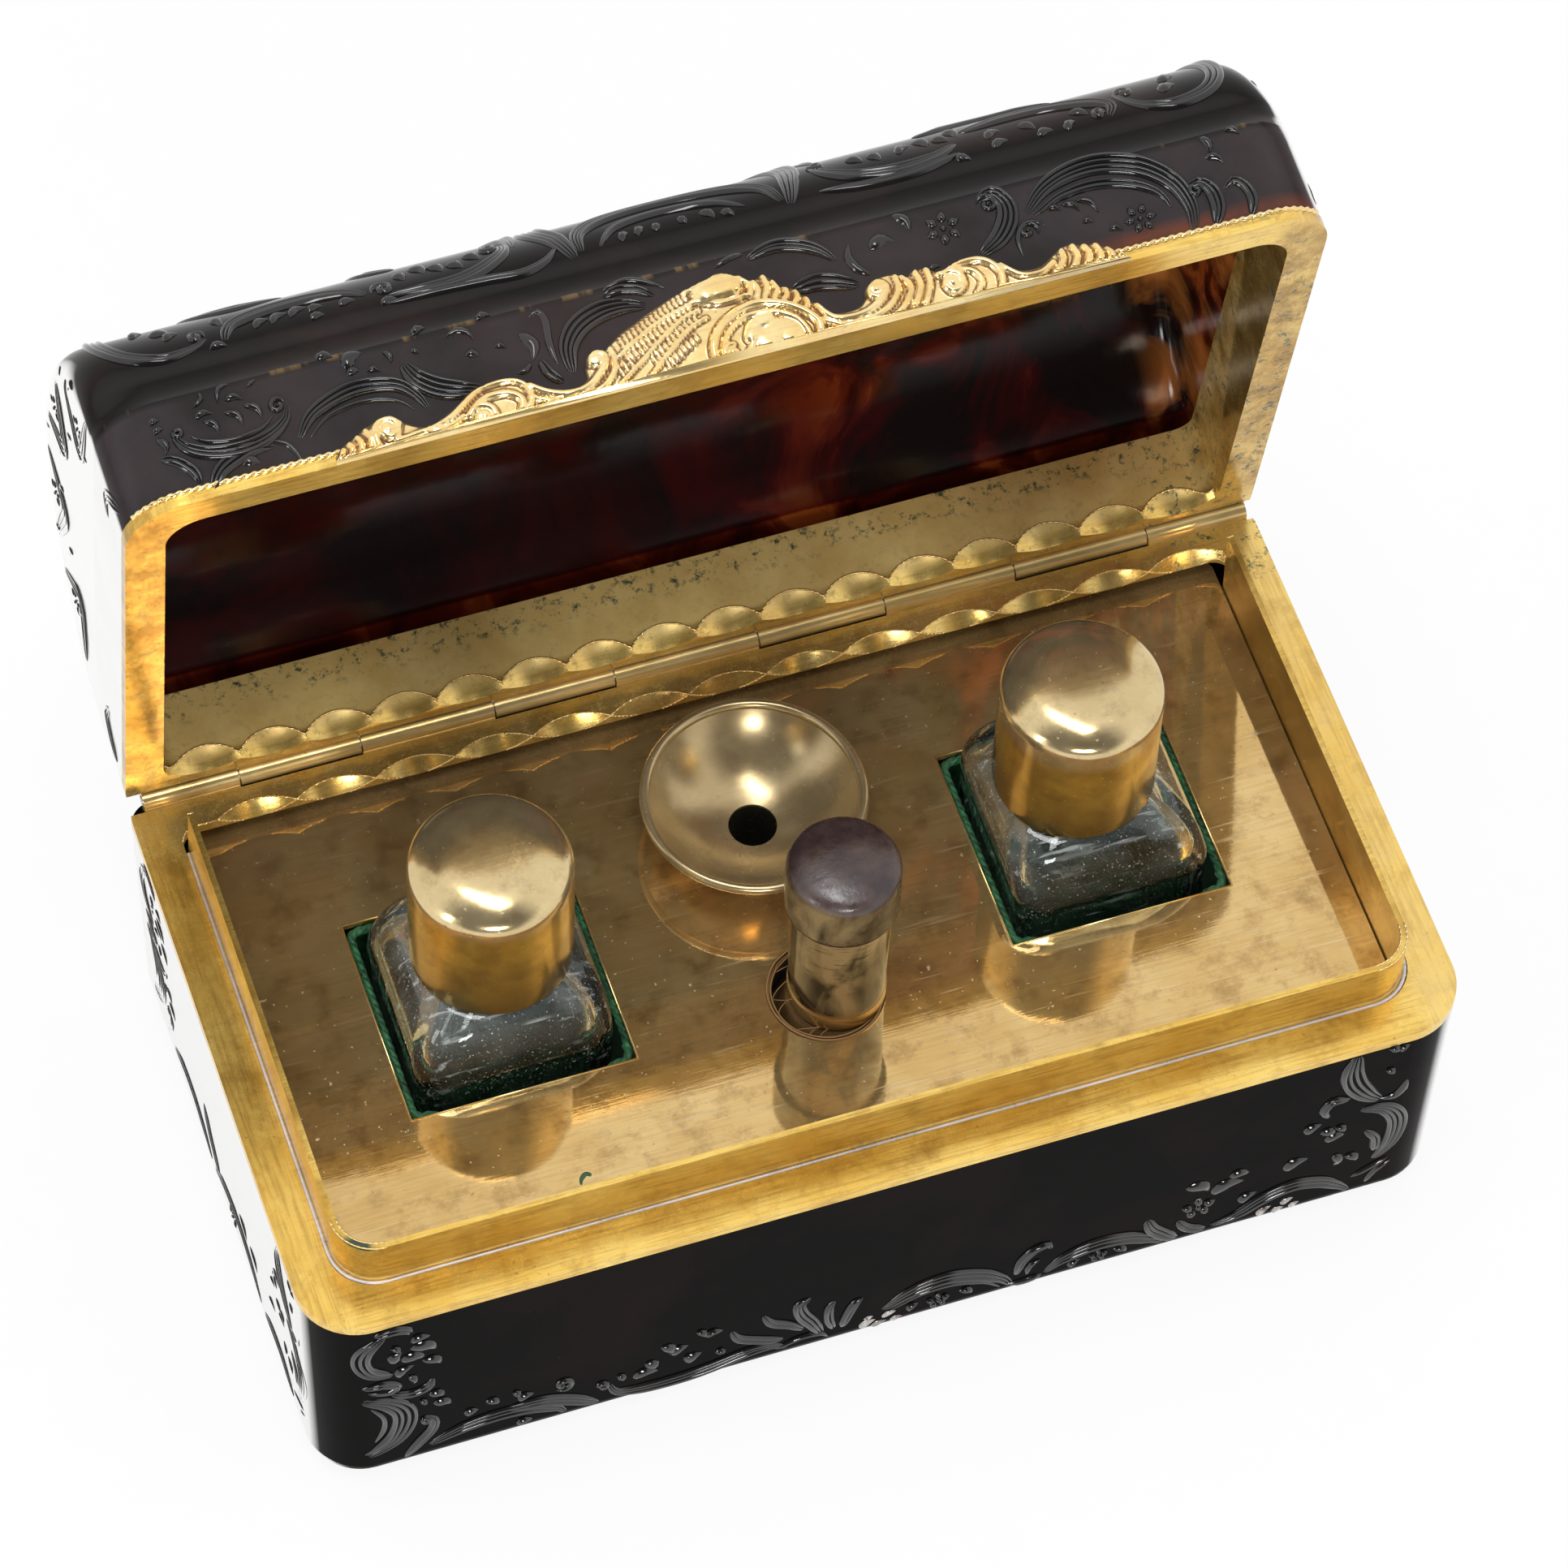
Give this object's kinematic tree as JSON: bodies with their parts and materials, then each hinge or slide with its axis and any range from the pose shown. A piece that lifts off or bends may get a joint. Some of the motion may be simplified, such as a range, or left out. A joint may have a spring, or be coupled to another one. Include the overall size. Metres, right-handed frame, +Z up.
{
  "type": "scent caddy",
  "caption": "Hinged tortoiseshell casket with gilt mounts, holding square glass scent flasks with gilt caps, a small funnel and a horn case in a brass deck.",
  "frame": {"origin": "centre of the flat face that the casket stands on", "axes": "+X along the hinge, +Y towards the hinge at the rear, +Z up; rest pose has the lid open"},
  "size_m": [0.1, 0.074, 0.0817],
  "materials": {
    "tortoiseshell": "polished, carved, near black with red-brown",
    "gilt": "fire gilt, rubbed",
    "thumb_gilt": "chased and burnished gilt",
    "deck_brass": "polished, aged brown-gold",
    "hinge_brass": "worn gilt",
    "pin_steel": "drawn wire",
    "cap_brass": "gilt, worn on the crown",
    "funnel_brass": "spun brass, tarnished",
    "block_wood": "plain softwood",
    "green_silk": "dark green silk",
    "brown_silk": "brown silk",
    "horsehair": "loose brown hair",
    "clear_glass": "thick hand-made glass",
    "cork": "fine cork",
    "horn": "polished dark horn",
    "horn_cap": "polished horn, worn rim",
    "case_gilt": "worn gilt band",
    "balm": "hard waxy balm"
  },
  "bodies": {
    "casket": {"body_shell": "tortoiseshell", "well_block": "block_wood", "left_well_lining": "green_silk", "right_well_lining": "green_silk", "left_well_pad": "green_silk", "right_well_pad": "green_silk", "left_silk_edging": "green_silk", "right_silk_edging": "green_silk", "case_well_lining": "brown_silk", "case_well_stuffing": "horsehair", "funnel_well_lining": "brown_silk", "deck_plate": "deck_brass", "body_bezel": "gilt", "body_lip": "gilt", "body_knuckles": "hinge_brass", "hinge_pin": "pin_steel"},
    "lid": {"lid_shell": "tortoiseshell", "lid_bezel": "gilt", "lid_knuckles": "hinge_brass", "thumbpiece": "thumb_gilt"},
    "left_flask": {"left_bottle": "clear_glass"},
    "right_flask": {"right_bottle": "clear_glass"},
    "left_closure": {"left_cap": "cap_brass", "left_cork": "cork"},
    "right_closure": {"right_cap": "cap_brass", "right_cork": "cork"},
    "funnel": {"funnel_bowl": "funnel_brass", "funnel_spout": "funnel_brass"},
    "case": {"case_body": "horn", "case_base_ring": "case_gilt", "balm_stick": "balm"},
    "case_top": {"case_cap": "horn_cap"}
  },
  "joints": [
    {"name": "lid_hinge", "type": "hinge", "parent": "casket", "child": "lid", "pos_m": [0, 0.0265, 0.0267], "axis": [-1, 0, 0], "range_deg": [-81.5, 0]},
    {"name": "left_flask_lift", "type": "slide", "parent": "casket", "child": "left_flask", "axis": [0, 0, 1], "range_m": [0, 0.03]},
    {"name": "right_flask_lift", "type": "slide", "parent": "casket", "child": "right_flask", "axis": [0, 0, 1], "range_m": [0, 0.03]},
    {"name": "left_cap_pull", "type": "slide", "parent": "left_flask", "child": "left_closure", "axis": [0, 0, 1], "range_m": [0, 0.013]},
    {"name": "right_cap_pull", "type": "slide", "parent": "right_flask", "child": "right_closure", "axis": [0, 0, 1], "range_m": [0, 0.013]},
    {"name": "funnel_lift", "type": "slide", "parent": "casket", "child": "funnel", "axis": [0, 0, 1], "range_m": [0, 0.018]},
    {"name": "case_lift", "type": "slide", "parent": "casket", "child": "case", "axis": [0, 0, 1], "range_m": [0, 0.012]},
    {"name": "case_cap_pull", "type": "slide", "parent": "case", "child": "case_top", "axis": [0, 0, 1], "range_m": [0, 0.006]}
  ]
}
